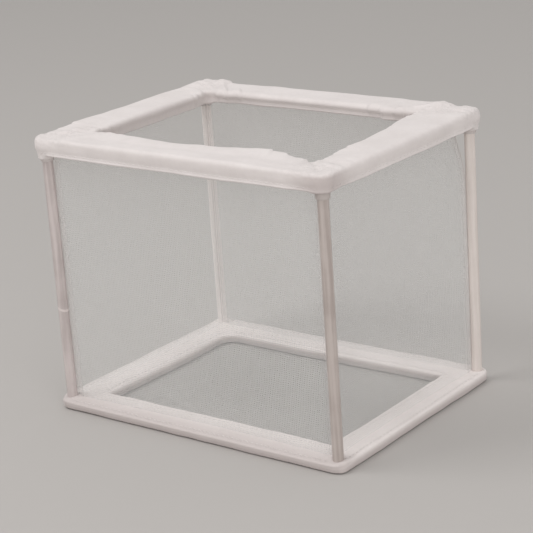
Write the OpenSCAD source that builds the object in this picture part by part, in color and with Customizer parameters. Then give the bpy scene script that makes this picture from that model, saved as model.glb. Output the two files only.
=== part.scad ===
// Net breeding box for fish: a fine net bag held open inside a white plastic frame.
// The top frame plugs onto four tube posts that stand on the bottom frame.
// Millimetres. Z is up, X is the long side, and -Y is the front.
// The origin is on the table, under the middle of the frame.

/* [Whole frame] */
// Length of the frame over its fabric, left to right
frame_l = 165; // [140:1:200]
// Width of the frame over its fabric, front to back
frame_w = 127; // [105:1:155]
// Height from the table to the top of the hems
frame_h = 133; // [100:1:170]
// Radius of the frame's outer corners, seen from above
corner_r = 5; // [2:0.5:6]

/* [Posts] */
// Outer diameter of a post
post_d = 5; // [4.6:0.1:5.8]
// Wall of a post
post_wall = 0.7; // [0.5:0.1:1]
// From the frame's outer faces to the axis of a post
post_inset = 4.8; // [4.6:0.1:6.5]
// Length of the spigots inside a post
spigot_l = 10; // [6:0.5:15]
// Clearance all round a spigot in its post
spigot_fit = 0.05; // [0.02:0.01:0.09]
// How far the collar round a post's upper end shows under the hem
collar_h = 3.5; // [2:0.5:6]
// Wall of a collar at its mouth
collar_wall = 0.5; // [0.3:0.1:0.7]
// How much a collar widens towards its root, on the radius
collar_flare = 0.3; // [0.1:0.1:0.5]
// Clearance all round a post in its collar
collar_fit = 0.05; // [0.02:0.01:0.09]

/* [Top frame] */
// Width of a top hem, seen from above
top_hem_w = 16.5; // [14.5:0.5:20]
// Height of a top hem on its outer face
top_hem_h = 7.2; // [6.6:0.2:10]
// Height of a top hem on its inner face
top_inner_h = 5; // [4.6:0.2:7]
// Wall of a top rail
top_rail_wall = 0.9; // [0.6:0.1:1.1]

/* [Bottom frame] */
// Width of a bottom band, seen from above
band_w = 16; // [14.5:0.5:20]
// Height of a bottom band
band_h = 5; // [4.6:0.2:7]
// Wall of a bottom rail
bottom_rail_wall = 0.9; // [0.6:0.1:1.1]

/* [Corner arms] */
// Length of a corner piece's arm inside a rail
arm_l = 14; // [8:1:25]
// Clearance all round an arm in its rail
arm_fit = 0.05; // [0.02:0.01:0.09]

/* [Fabric and net] */
// Thickness of the hem and band fabric
fabric_t = 0.7; // [0.4:0.1:0.9]
// Clearance between the fabric and the plastic inside it
fabric_gap = 0.1; // [0.05:0.05:0.25]
// Clearance round a post or collar where it passes through the fabric
post_hole_gap = 0.2; // [0.1:0.05:0.4]
// Thickness of the net
net_t = 0.6; // [0.4:0.1:1]
// From a post to the net beside it
net_gap = 0.8; // [0.7:0.1:2.5]
// From the upper edge of a net wall to the hem above it
net_top_gap = 0.3; // [0.2:0.05:0.6]
// Width of a corner seam on each of its two walls
seam_w = 3.5; // [3:0.5:6]
// Thickness of a corner seam
seam_t = 0.7; // [0.4:0.1:1]

/* [Hidden] */
$fn = 48;
// extra length of a cutter past the face that it cuts
cut = 1;

// what the fabric takes up on each side of the plastic inside it
lining = fabric_t + fabric_gap;

// the top frame; the underside of a hem rises towards its inner face
hem_bottom = frame_h - top_hem_h;
hem_slope = (top_hem_h - top_inner_h) / top_hem_w;
top_rail_w = top_hem_w - 2 * lining;
top_rail_h = top_inner_h - 2 * lining;
top_rail_bottom = frame_h - lining - top_rail_h;

// the bottom frame
bottom_rail_w = band_w - 2 * lining;
bottom_rail_h = band_h - 2 * lining;
bottom_rail_top = lining + bottom_rail_h;

// the posts
post_x = frame_l / 2 - post_inset;
post_y = frame_w / 2 - post_inset;
post_l = top_rail_bottom - bottom_rail_top;
post_r = post_d / 2;
bore_r = post_r - post_wall;
spigot_r = bore_r - spigot_fit;
collar_bore_r = post_r + collar_fit;
collar_mouth_r = collar_bore_r + collar_wall;
collar_root_r = collar_mouth_r + collar_flare;

// the net: the outer plane of each wall, and how high the walls and the seams over them go
net_x = post_x - post_r - net_gap;
net_y = post_y - post_r - net_gap;
net_inset = frame_l / 2 - net_x;
net_wall_top = hem_bottom + hem_slope * net_inset - net_top_gap;
seam_top = hem_bottom + hem_slope * (net_inset - seam_t) - net_top_gap;

plastic_white = "#DDD7D5";
post_white = "#BDB4B2";
fabric_white = "#E3DCDA";
seam_white = "#CFC9C7";
net_white = [0.86, 0.9, 0.88, 0.35];

// ---- places ----

// shows what is drawn at the back right corner at the corner with these signs
module at_corner(side_x, side_y) {
    mirror([side_x < 0 ? 1 : 0, 0, 0])
        mirror([0, side_y < 0 ? 1 : 0, 0])
            children();
}

// shows what is drawn at the back side at the front, where side is -1
module at_long_side(side) {
    mirror([0, side < 0 ? 1 : 0, 0]) children();
}

// shows what is drawn at the right side at the left, where side is -1
module at_short_side(side) {
    mirror([side < 0 ? 1 : 0, 0, 0]) children();
}

// ---- shapes that repeat ----

// a rectangle with true round corners, about the origin
module rounded_outline(l, w, r) {
    square([l - 2 * r, w], center = true);
    square([l, w - 2 * r], center = true);
    for (x = [-1, 1], y = [-1, 1])
        translate([x * (l / 2 - r), y * (w / 2 - r)]) circle(r);
}

// the plan of a frame's border: inset from the frame's outside, and its width
module border(inset, width, r) {
    difference() {
        rounded_outline(frame_l - 2 * inset, frame_w - 2 * inset, r);
        square([frame_l - 2 * (inset + width), frame_w - 2 * (inset + width)], center = true);
    }
}

// a straight box-section tube along X, its hollow open at both ends
module box_tube(l, w, h, wall) {
    difference() {
        cube([l, w, h], center = true);
        cube([l + 2 * cut, w - 2 * wall, h - 2 * wall], center = true);
    }
}

// the back rail of a frame, between its corner pieces; its lower face is at z
module long_rail(w, h, wall, z) {
    translate([0, frame_w / 2 - lining - w / 2, z + h / 2])
        box_tube(frame_l - 2 * (lining + w), w, h, wall);
}

// and the right rail
module short_rail(w, h, wall, z) {
    translate([frame_l / 2 - lining - w / 2, 0, z + h / 2])
        rotate([0, 0, 90])
            box_tube(frame_w - 2 * (lining + w), w, h, wall);
}

// the back right corner piece of a frame: a block as wide as the rails, and an arm into each
module corner_body(w, h, wall, z) {
    hollow_w = w - 2 * wall - 2 * arm_fit;
    hollow_h = h - 2 * wall - 2 * arm_fit;
    arm_inset = lining + wall + arm_fit;
    block_inset = lining + w;
    translate([0, 0, z]) linear_extrude(h) intersection() {
        border(lining, w, max(corner_r - lining, 0.5));
        translate([frame_l / 2 - block_inset, frame_w / 2 - block_inset]) square(w);
    }
    translate([frame_l / 2 - block_inset - arm_l, frame_w / 2 - arm_inset - hollow_w,
               z + wall + arm_fit])
        cube([arm_l + cut, hollow_w, hollow_h]);
    translate([frame_l / 2 - arm_inset - hollow_w, frame_w / 2 - block_inset - arm_l,
               z + wall + arm_fit])
        cube([hollow_w, arm_l + cut, hollow_h]);
}

// the section of a sleeve with a skin taken off all round: x is in from the frame's face, y is up
module sleeve_section(w, z, h, slope, skin) {
    polygon([[skin, z + skin + slope * skin], [w - skin, z + skin + slope * (w - skin)],
             [w - skin, z + h - skin], [skin, z + h - skin]]);
}

// runs a section along the back of the frame
module run_along_back() {
    translate([-frame_l / 2, frame_w / 2, 0])
        rotate([90, 0, 90])
            linear_extrude(frame_l)
                mirror([1, 0]) children();
}

// and along its right side
module run_along_right() {
    translate([frame_l / 2, frame_w / 2, 0])
        rotate([90, 0, 0])
            linear_extrude(frame_w)
                mirror([1, 0]) children();
}

// keeps what is inside the frame's rounded outside, this far in from it
module inside_outline(inset) {
    intersection() {
        children();
        translate([0, 0, -cut])
            linear_extrude(frame_h + 2 * cut)
                rounded_outline(frame_l - 2 * inset, frame_w - 2 * inset,
                                max(corner_r - inset, 0.5));
    }
}

// a round hole through the fabric at each post, from z up
module post_holes(r, z, h) {
    for (x = [-1, 1], y = [-1, 1])
        translate([x * post_x, y * post_y, z]) cylinder(r = r, h = h);
}

// the back side's share of a frame, cut at 45 degrees at both ends
module long_mitre(w) {
    x = frame_l / 2;
    y = frame_w / 2;
    linear_extrude(frame_h)
        polygon([[-x, y], [x, y], [x - w, y - w], [w - x, y - w]]);
}

// and the right side's share
module short_mitre(w) {
    x = frame_l / 2;
    y = frame_w / 2;
    linear_extrude(frame_h)
        polygon([[x, -y], [x, y], [x - w, y - w], [x - w, w - y]]);
}

// the back fabric sleeve of a frame; what is given as children is cut out of it
module long_sleeve(w, z, h, slope) {
    intersection() {
        long_mitre(w);
        difference() {
            inside_outline(0) run_along_back() sleeve_section(w, z, h, slope, 0);
            inside_outline(fabric_t)
                run_along_back() sleeve_section(w, z, h, slope, fabric_t);
            children();
        }
    }
}

// and the right one
module short_sleeve(w, z, h, slope) {
    intersection() {
        short_mitre(w);
        difference() {
            inside_outline(0) run_along_right() sleeve_section(w, z, h, slope, 0);
            inside_outline(fabric_t)
                run_along_right() sleeve_section(w, z, h, slope, fabric_t);
            children();
        }
    }
}

// ---- bottom frame ----

module bottom_rail_long(side) {
    color(plastic_white) at_long_side(side)
        long_rail(bottom_rail_w, bottom_rail_h, bottom_rail_wall, lining);
}

module bottom_rail_short(side) {
    color(plastic_white) at_short_side(side)
        short_rail(bottom_rail_w, bottom_rail_h, bottom_rail_wall, lining);
}

module bottom_corner(side_x, side_y) {
    color(plastic_white) at_corner(side_x, side_y) {
        corner_body(bottom_rail_w, bottom_rail_h, bottom_rail_wall, lining);
        translate([post_x, post_y, bottom_rail_top - cut])
            cylinder(r = spigot_r, h = spigot_l + cut);
    }
}

module band_holes() {
    post_holes(post_r + post_hole_gap, band_h / 2, band_h / 2 + cut);
}

module bottom_band_long(side) {
    color(fabric_white) at_long_side(side)
        long_sleeve(band_w, 0, band_h, 0) band_holes();
}

module bottom_band_short(side) {
    color(fabric_white) at_short_side(side)
        short_sleeve(band_w, 0, band_h, 0) band_holes();
}

// ---- posts ----

module post(side_x, side_y) {
    color(post_white) at_corner(side_x, side_y)
        translate([post_x, post_y, bottom_rail_top])
            difference() {
                cylinder(r = post_r, h = post_l);
                translate([0, 0, -cut]) cylinder(r = bore_r, h = post_l + 2 * cut);
            }
}

// ---- net ----

module net_long(side) {
    color(net_white) at_long_side(side)
        translate([-net_x, net_y - net_t, band_h])
            cube([2 * net_x, net_t, net_wall_top - band_h]);
}

module net_short(side) {
    color(net_white) at_short_side(side)
        translate([net_x - net_t, net_t - net_y, band_h])
            cube([net_t, 2 * (net_y - net_t), net_wall_top - band_h]);
}

module net_floor() {
    color(net_white)
        translate([0, 0, band_h / 2])
            cube([frame_l - 2 * band_w, frame_w - 2 * band_w, net_t], center = true);
}

// the tape sewn over the net's corner, folded round its outside
module seam(side_x, side_y) {
    color(seam_white) at_corner(side_x, side_y)
        translate([net_x, net_y, band_h])
            linear_extrude(seam_top - band_h) {
                translate([-seam_w, 0]) square([seam_w + seam_t, seam_t]);
                translate([0, -seam_w]) square([seam_t, seam_w + seam_t]);
            }
}

// ---- top frame ----

module top_rail_long(side) {
    color(plastic_white) at_long_side(side)
        long_rail(top_rail_w, top_rail_h, top_rail_wall, top_rail_bottom);
}

module top_rail_short(side) {
    color(plastic_white) at_short_side(side)
        short_rail(top_rail_w, top_rail_h, top_rail_wall, top_rail_bottom);
}

// a three-way corner: two arms in the rails, and a spigot and collar for the post
module top_corner(side_x, side_y) {
    color(plastic_white) at_corner(side_x, side_y) {
        corner_body(top_rail_w, top_rail_h, top_rail_wall, top_rail_bottom);
        translate([post_x, post_y, top_rail_bottom - spigot_l])
            cylinder(r = spigot_r, h = spigot_l + cut);
        translate([post_x, post_y, hem_bottom])
            difference() {
                union() {
                    cylinder(r = collar_root_r, h = top_rail_bottom - hem_bottom);
                    translate([0, 0, -collar_h])
                        cylinder(r1 = collar_mouth_r, r2 = collar_root_r, h = collar_h);
                }
                translate([0, 0, -collar_h - cut])
                    cylinder(r = collar_bore_r, h = collar_h + cut + top_rail_bottom - hem_bottom);
            }
    }
}

module hem_holes() {
    post_holes(collar_root_r + post_hole_gap, hem_bottom - cut, top_hem_h / 2 + cut);
}

module top_hem_long(side) {
    color(fabric_white) at_long_side(side)
        long_sleeve(top_hem_w, hem_bottom, top_hem_h, hem_slope) hem_holes();
}

module top_hem_short(side) {
    color(fabric_white) at_short_side(side)
        short_sleeve(top_hem_w, hem_bottom, top_hem_h, hem_slope) hem_holes();
}

bottom_rail_long(-1);  // bottom_rail_front
bottom_rail_long(1);  // bottom_rail_back
bottom_rail_short(-1);  // bottom_rail_left
bottom_rail_short(1);  // bottom_rail_right
bottom_corner(-1, -1);  // bottom_corner_front_left
bottom_corner(1, -1);  // bottom_corner_front_right
bottom_corner(-1, 1);  // bottom_corner_back_left
bottom_corner(1, 1);  // bottom_corner_back_right
bottom_band_long(-1);  // bottom_band_front
bottom_band_long(1);  // bottom_band_back
bottom_band_short(-1);  // bottom_band_left
bottom_band_short(1);  // bottom_band_right
post(-1, -1);  // post_front_left
post(1, -1);  // post_front_right
post(-1, 1);  // post_back_left
post(1, 1);  // post_back_right
net_long(-1);  // net_front
net_long(1);  // net_back
net_short(-1);  // net_left
net_short(1);  // net_right
net_floor();
seam(-1, -1);  // seam_front_left
seam(1, -1);  // seam_front_right
seam(-1, 1);  // seam_back_left
seam(1, 1);  // seam_back_right
top_rail_long(-1);  // top_rail_front
top_rail_long(1);  // top_rail_back
top_rail_short(-1);  // top_rail_left
top_rail_short(1);  // top_rail_right
top_corner(-1, -1);  // top_corner_front_left
top_corner(1, -1);  // top_corner_front_right
top_corner(-1, 1);  // top_corner_back_left
top_corner(1, 1);  // top_corner_back_right
top_hem_long(-1);  // top_hem_front
top_hem_long(1);  // top_hem_back
top_hem_short(-1);  // top_hem_left
top_hem_short(1);  // top_hem_right
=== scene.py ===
# %% [markdown]
# # A net breeding box for young fish
# The real thing is a box of fine net that keeps newborn fish apart from the others. A ring of white
# plastic rails holds its mouth open, a flat border of the same rails holds its floor, and four thin
# tubes stand between them. Fabric sleeves are sewn round the rails, and the net is sewn to the sleeves.
#
# The plastic was drawn in a CAD program and comes in as a fixed frame. This lesson dresses it: it
# makes the sleeves with their folds, the stitches, the net, the seams and the finish of each surface.
# The frame never moves here, so every new piece takes its place from it.

import math
from collections import namedtuple

import bpy
import numpy as np
from mathutils import Matrix, Vector, noise


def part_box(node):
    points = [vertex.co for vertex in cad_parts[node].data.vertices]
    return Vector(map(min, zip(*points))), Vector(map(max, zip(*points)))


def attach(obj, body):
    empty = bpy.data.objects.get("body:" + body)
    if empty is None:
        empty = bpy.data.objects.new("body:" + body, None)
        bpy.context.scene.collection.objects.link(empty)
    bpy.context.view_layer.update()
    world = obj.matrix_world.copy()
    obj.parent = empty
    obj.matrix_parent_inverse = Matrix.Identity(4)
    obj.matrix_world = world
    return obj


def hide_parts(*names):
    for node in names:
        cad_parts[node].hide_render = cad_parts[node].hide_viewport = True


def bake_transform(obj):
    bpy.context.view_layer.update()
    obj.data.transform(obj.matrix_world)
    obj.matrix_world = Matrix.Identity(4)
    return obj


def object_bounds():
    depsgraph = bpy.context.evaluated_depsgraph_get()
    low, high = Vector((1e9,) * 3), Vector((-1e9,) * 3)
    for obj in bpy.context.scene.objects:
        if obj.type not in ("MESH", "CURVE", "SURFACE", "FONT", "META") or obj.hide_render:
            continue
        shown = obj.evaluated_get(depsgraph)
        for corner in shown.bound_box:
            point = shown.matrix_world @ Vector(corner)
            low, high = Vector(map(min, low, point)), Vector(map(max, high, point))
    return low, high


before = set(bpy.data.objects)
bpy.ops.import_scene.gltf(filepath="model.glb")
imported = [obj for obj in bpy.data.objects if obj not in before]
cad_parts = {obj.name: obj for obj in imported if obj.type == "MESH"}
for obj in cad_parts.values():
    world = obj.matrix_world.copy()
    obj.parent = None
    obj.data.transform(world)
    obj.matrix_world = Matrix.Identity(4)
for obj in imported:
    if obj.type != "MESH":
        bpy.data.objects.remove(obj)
cad_low, cad_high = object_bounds()
print("the frame holds", len(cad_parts), "parts")
print("and measures", [round(1000 * (b - a), 1) for a, b in zip(cad_low, cad_high)], "mm")

# %% [markdown]
# ## Sizes
# Cloth is easier to think about in millimetres, so the shapes below are worked out in millimetres and
# turned into metres only when a mesh is made. Each size is read from the box of a CAD part. A typed
# copy would be shorter, but it would go wrong as soon as the frame changed.

# %% Read the sizes
MM = 0.001


def box_mm(part):
    """The lowest and highest corner of a part of the frame, in millimetres."""
    low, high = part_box(part)
    return np.array(low) / MM, np.array(high) / MM


hem_low, hem_high = box_mm("top_hem_back")
rail_low, rail_high = box_mm("top_rail_back")
band_low, band_high = box_mm("bottom_band_back")
_, net_high = box_mm("net_back")
floor_low, floor_high = box_mm("net_floor")
post_low, post_high = box_mm("post_back_right")

HALF_LENGTH, HALF_WIDTH = cad_high[0] / MM, cad_high[1] / MM
HEM_BOTTOM, HEM_TOP = hem_low[2], hem_high[2]
HEM_WIDTH = hem_high[1] - hem_low[1]
LINING = hem_high[2] - rail_high[2]  # the cloth and the little air between it and a rail
INNER_BOTTOM = rail_low[2] - LINING
PUFF = 0.4  # how far a sewn hem stands out and up from the frame's plain sleeve
BAND_TOP = band_high[2]
BAND_WIDTH = band_high[1] - band_low[1]
NET_X, NET_Y = net_high[0], net_high[1]
POST_X, POST_Y = (post_low[0] + post_high[0]) / 2, (post_low[1] + post_high[1]) / 2
print(f"top hems {HEM_WIDTH:.1f} wide and {HEM_TOP - HEM_BOTTOM:.1f} tall outside")
print(f"but only {HEM_TOP - INNER_BOTTOM:.1f} tall inside")
print(f"bottom bands {BAND_WIDTH:.1f} wide")
print(f"posts at {POST_X:.1f}, {POST_Y:.1f}")

# %% [markdown]
# ## Camera
# A long lens from a good way off keeps the box's edges nearly parallel. The camera could be placed by
# hand in the viewport. Here it's placed by two angles and a distance, because then any view can be
# named and found again: azimuth 0 looks along +Y at the front, and the elevation looks down on it.

# %% Place the camera


def add_to_scene(name, data):
    """Sets a mesh, a camera or a lamp in the scene as an object."""
    thing = bpy.data.objects.new(name, data)
    bpy.context.scene.collection.objects.link(thing)
    return thing


def place_camera(azimuth, elevation, roll, distance, lens, aim):
    a, e = math.radians(azimuth), math.radians(elevation)
    back = Vector((math.sin(a) * math.cos(e), -math.cos(a) * math.cos(e), math.sin(e)))
    camera = add_to_scene("camera", bpy.data.cameras.new("camera"))
    camera.data.lens = lens
    camera.location = Vector(aim) + back * distance
    turn = (-back).to_track_quat("-Z", "Y").to_matrix()
    camera.rotation_euler = (turn @ Matrix.Rotation(math.radians(roll), 3, "Z")).to_euler()
    bpy.context.scene.camera = camera
    return camera


camera = place_camera(azimuth=38, elevation=18, roll=-4, distance=0.85, lens=122, aim=(0, 0, 0.064))
print("the camera stands at", [round(c, 3) for c in camera.location])

# %% [markdown]
# ## Floor and light
# White cloth on a white floor loses its edges, so the floor is a pale warm grey. The light is soft: an
# even sky, one large lamp high on the left that makes the top the brightest face, and a large low lamp
# on the right that keeps the two near sides from going dull. Small lamps would put hard shadows in
# every fold.

# %% Set up the floor, the sky and the lamps
FLOOR_GREY = (0.49, 0.468, 0.45)
FLOOR_SIZE = 8
FLOOR_GAP = 0.0003  # the floor lies this far below the frame, so that the two never flicker
LAMP_AIM = Vector((0, 0, 0.06))


def plain_floor():
    s = FLOOR_SIZE / 2
    mesh = bpy.data.meshes.new("floor")
    mesh.from_pydata([(-s, -s, 0), (s, -s, 0), (s, s, 0), (-s, s, 0)], [], [(0, 1, 2, 3)])
    floor = add_to_scene("floor", mesh)
    floor.location.z = -FLOOR_GAP
    paint = bpy.data.materials.new("floor paint")
    paint.use_nodes = True
    shader = paint.node_tree.nodes["Principled BSDF"]
    shader.inputs["Base Color"].default_value = (*FLOOR_GREY, 1)
    shader.inputs["Roughness"].default_value = 0.9
    mesh.materials.append(paint)


def even_sky(strength, colour):
    world = bpy.data.worlds.new("sky")
    world.use_nodes = True
    background = world.node_tree.nodes["Background"]
    background.inputs["Color"].default_value = (*colour, 1)
    background.inputs["Strength"].default_value = strength
    bpy.context.scene.world = world


def soft_lamp(name, place, size, power):
    lamp = add_to_scene(name, bpy.data.lights.new(name, "AREA"))
    lamp.data.size, lamp.data.energy = size, power
    lamp.location = place
    lamp.rotation_euler = (LAMP_AIM - Vector(place)).to_track_quat("-Z", "Y").to_euler()


plain_floor()
even_sky(0.675, (1.0, 0.99, 0.98))
soft_lamp("key lamp", (-0.50, -0.56, 1.25), size=0.6, power=5.8)
soft_lamp("fill lamp", (1.0, -0.85, 0.45), size=0.8, power=5.2)
bpy.context.scene.view_settings.view_transform = "Standard"
print("floor, sky and two soft lamps are set")

# %% [markdown]
# ## Tools for the finishes
# A procedural finish is a small sum: a pattern goes in, and a colour, a roughness or a height comes
# out. Making and joining shader nodes one by one takes a dozen lines for each. A Flow stands for what
# one node gives out, and any sum with it makes the next node. So a sum is written as it would be on
# paper, such as `weave * 0.35 + clouds * 0.75`.

# %% Write sums for a shader


class Flow:
    """A number, place or colour that a shader works out at each point of a surface."""

    def __init__(self, finish, socket):
        self.finish, self.socket = finish, socket

    def by(self, operation, *others):
        node = self.finish.new_node("Math")
        node.operation = operation
        return self.finish.wire(node, (self, *others))

    def __add__(self, other):
        return self.by("ADD", other)

    def __sub__(self, other):
        return self.by("SUBTRACT", other)

    def __mul__(self, other):
        return self.by("MULTIPLY", other)

    def __abs__(self):
        return self.by("ABSOLUTE")

    def sine(self):
        return self.by("SINE")

    def larger(self, other):
        return self.by("MAXIMUM", other)

    def zigzag(self, reach):
        """Runs up to the reach and back down to 0, again and again."""
        return self.by("PINGPONG", reach)

    def span(self, low, high, to_low, to_high):
        """Maps low..high onto to_low..to_high with a soft start and end."""
        node = self.finish.new_node("MapRange")
        node.interpolation_type = "SMOOTHSTEP"
        return self.finish.wire(node, (self, low, high, to_low, to_high))

    def parts(self):
        """The x, y and z of a place."""
        node = self.finish.new_node("SeparateXYZ")
        self.finish.wire(node, (self,))
        return [Flow(self.finish, socket) for socket in node.outputs]

    def mottle(self, scale, detail=3.0):
        """Cloudy noise from 0 to 1 at this place, with this many clouds a metre."""
        node = self.finish.new_node("TexNoise")
        node.inputs["Scale"].default_value = scale
        node.inputs["Detail"].default_value = detail
        return self.finish.wire(node, (self,), "Fac")


print("sums for shaders are ready")

# %% [markdown]
# A Finish holds one material while it's made. It gives out the flows that sums start from, which are
# places on the surface, and it joins what comes out to the shader. A value that is the same all over
# is set on the shader itself, without a node.

# %% Start a finish


class Finish:
    """A material in the making: its shader, and the sums that feed it."""

    def __init__(self, name, colour, roughness):
        self.material = bpy.data.materials.new(name)
        self.material.use_nodes = True
        self.shader = self.material.node_tree.nodes["Principled BSDF"]
        self.set("Base Color", colour)
        self.set("Roughness", roughness)

    def new_node(self, kind):
        return self.material.node_tree.nodes.new("ShaderNode" + kind)

    def join(self, socket, value):
        """Joins a socket to a flow, or sets it to a number or to a colour of three numbers."""
        if isinstance(value, Flow):
            self.material.node_tree.links.new(value.socket, socket)
        else:
            socket.default_value = (*value, 1) if isinstance(value, tuple) else value

    def wire(self, node, values, output=0):
        """Feeds a node's first sockets and gives back what comes out of it."""
        for socket, value in zip(node.inputs, values):
            self.join(socket, value)
        return Flow(self, node.outputs[output])

    def set(self, socket, value):
        self.join(self.shader.inputs[socket], value)

    def place(self):
        """The place on the surface, along the frame's own axes."""
        return Flow(self, self.new_node("TexCoord").outputs["Object"])

    def cut(self):
        """The place on the flat cloth that a piece was cut from."""
        node = self.new_node("UVMap")
        node.uv_map = "cloth"
        return Flow(self, node.outputs["UV"])

    def blend(self, share, first, second):
        """A colour from first to second as share goes from 0 to 1."""
        node = self.new_node("Mix")
        node.data_type = "RGBA"
        for socket, value in (("Factor", share), ("A", first), ("B", second)):
            self.join(node.inputs[socket], value)
        return Flow(self, node.outputs["Result"])

    def relief(self, height, depth):
        """Makes the surface look raised by a pattern, by this many metres where the pattern is 1."""
        node = self.new_node("Bump")
        node.inputs["Distance"].default_value = depth
        self.join(node.inputs["Height"], height)
        self.set("Normal", Flow(self, node.outputs["Normal"]))


print("ready to start a finish")

# %% [markdown]
# ## White fabric
# The sleeves are a plain woven polyester, a little warm and matt. In a plain weave each thread goes
# over one and under the next, so the surface is a fine chequerboard of small pillows. The product of
# two sine waves is that chequerboard. An image of cloth would also do, but it would need a file, and
# it would not stay sharp at every size. The pattern follows the cloth's cut, so it runs along each
# sleeve and turns with it at the corners.
#
# The fabric also carries painted shade where shade falls on it: the hems are greyer round the front
# right corner and a little inside the mouth, and the bands along the front and near the table. Each
# kind of painted shade is a share from 0 to 1, worked out from the place on the frame.

# %% Weave the white fabric
WEAVE = 0.00062  # from one thread to the next but one
# painted shade: the colour that the fabric blends to where it is shaded most
PAINTED_SHADE_GREY = (0.56, 0.50, 0.485)  # the colour of the fabric where it is greyest


def plain_weave(cut):
    """Height of a plain weave, from 0 in the gaps to 1 on the threads."""
    u, v, _ = cut.parts()
    turn = 2 * math.pi / WEAVE
    return (u * turn).sine() * (v * turn).sine() * 0.5 + 0.5


def crease_relief_and_painted_shade(place):
    """Small hard creases, only on top of the four upper corners, from 0 to 1: raised, and painted darker
    as shade.
    """
    x, y, z = place.parts()
    near_x, near_y = abs(x).span(0.055, 0.070, 0, 1), abs(y).span(0.040, 0.052, 0, 1)
    on_top = z.span((HEM_TOP - 2.5) * MM, (HEM_TOP - 0.5) * MM, 0, 1)
    return place.mottle(520, 1.0).span(0.35, 0.65, 0, 1) * on_top * near_x * near_y


def hem_painted_shade(place):
    """Painted shade on a hem, from 0 to 1: outside the front right corner, and a little inside the mouth.
    """
    x, y, z = place.parts()
    from_corner = abs(x - HALF_LENGTH * MM) + abs(y + HALF_WIDTH * MM)
    mouth_x, mouth_y = (HALF_LENGTH - HEM_WIDTH) * MM, (HALF_WIDTH - HEM_WIDTH) * MM
    inside_x = abs(x).span(mouth_x - 0.0005, mouth_x + 0.0015, 1, 0)
    inside_y = abs(y).span(mouth_y - 0.0005, mouth_y + 0.0015, 0.4, 0)
    grey = from_corner.span(0.004, 0.024, 1, 0).larger(inside_x * inside_y)
    return grey * z.span((HEM_TOP - 1.5) * MM, (HEM_TOP + PUFF) * MM, 1, 0)


def band_painted_shade(place):
    """Painted shade on a band, from 0 to 1: along the front's outer edge, and on all faces near the table.
    """
    _, y, z = place.parts()
    along_front = (y * -1).span(0.050, 0.0625, 0, 0.8)
    return along_front.larger(z.span(0.0015, (BAND_TOP - 0.4) * MM, 1, 0))


def white_fabric(name, light, shade, grey):
    finish = Finish(name, light, 0.86)
    place, weave = finish.place(), plain_weave(finish.cut())
    clouds, fine, creases = place.mottle(60), place.mottle(420, 2.0), crease_relief_and_painted_shade(place)
    # the creases take tone off the colour: painted shade in the folds
    tone = weave * 0.35 + clouds * 0.75 + fine * 0.25 - creases * 0.16
    clean = finish.blend(tone.span(0.35, 0.95, 0, 1), shade, light)
    # the base colour blends towards the painted shade where its share is high
    finish.set("Base Color", finish.blend(grey(place), clean, PAINTED_SHADE_GREY))
    finish.set("Roughness", weave.span(0, 1, 0.93, 0.8))
    finish.set("Sheen Weight", 0.15)
    finish.set("Sheen Roughness", 0.5)
    finish.relief(weave + fine * 0.8 - creases * 3.0, 0.00006)
    return finish.material


hem_fabric = white_fabric("hem fabric", (0.80, 0.745, 0.73), (0.71, 0.655, 0.64), hem_painted_shade)
# The band fabric is paler than the hem fabric: painted light, for bands lit from above through the open
# mouth.
band_fabric = white_fabric("band fabric", (0.87, 0.81, 0.79), (0.78, 0.72, 0.70), band_painted_shade)
print("fabrics:", hem_fabric.name, "and", band_fabric.name)

# %% [markdown]
# ## Sewing thread
# The thread is a twisted pair of strands, slightly brighter and glossier than the cloth. A stripe
# that runs slantwise along the stitch gives the twist. Where the cloth has painted shade, the thread has
# it too.

# %% Spin the thread
TWIST = 0.0005  # from one turn of the strands to the next


def sewing_thread():
    finish = Finish("sewing thread", (0.83, 0.79, 0.77), 0.6)
    place = finish.place()
    x, y, z = place.parts()
    twist = ((x + y + z * 1.7) * (2 * math.pi / TWIST)).sine() * 0.5 + 0.5
    clean = finish.blend(twist, (0.70, 0.66, 0.64), (0.85, 0.81, 0.79))
    finish.set("Base Color", finish.blend(hem_painted_shade(place) * 0.8, clean, PAINTED_SHADE_GREY))
    finish.relief(twist, 0.00005)
    return finish.material


thread_finish = sewing_thread()
print("thread:", thread_finish.name)

# %% [markdown]
# ## The line that a sleeve follows
# A border runs round the frame: four straight sides, and a quarter turn at each corner. Neighbouring
# sides meet on a mitre, the line at 45 degrees through the corner, so each side gets half of each
# turn. The same rule holds at every inset from the outer faces, with a smaller turn further in. With
# it, any point of a sleeve is found from how far along the side it is, how far in, and how high.

# %% Follow a border
Side = namedtuple("Side", "along out half_along half_out corners")
SIDES = {
    "front": Side((1, 0), (0, -1), HALF_LENGTH, HALF_WIDTH, ("front_left", "front_right")),
    "right": Side((0, 1), (1, 0), HALF_WIDTH, HALF_LENGTH, ("front_right", "back_right")),
    "back": Side((-1, 0), (0, 1), HALF_LENGTH, HALF_WIDTH, ("back_right", "back_left")),
    "left": Side((0, -1), (-1, 0), HALF_WIDTH, HALF_LENGTH, ("back_left", "front_left")),
}
SIGNS = {"front_left": (-1, -1), "front_right": (1, -1), "back_right": (1, 1), "back_left": (-1, 1)}
TURN = 0.05  # the share of a side's columns that goes to each half turn
OUTER_CORNER = 5.5  # radius of the cloth's outer corners
LEAST_TURN = 0.3  # no turn gets sharper than this radius
COLUMN_STEP = 1.0  # from one column to the next along a straight
HALF_TURN_COLUMNS = 7


def ease(x):
    """Goes softly from 0 to 1 as x does, and stays there."""
    x = np.clip(x, 0, 1)
    return x * x * (3 - 2 * x)


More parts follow.
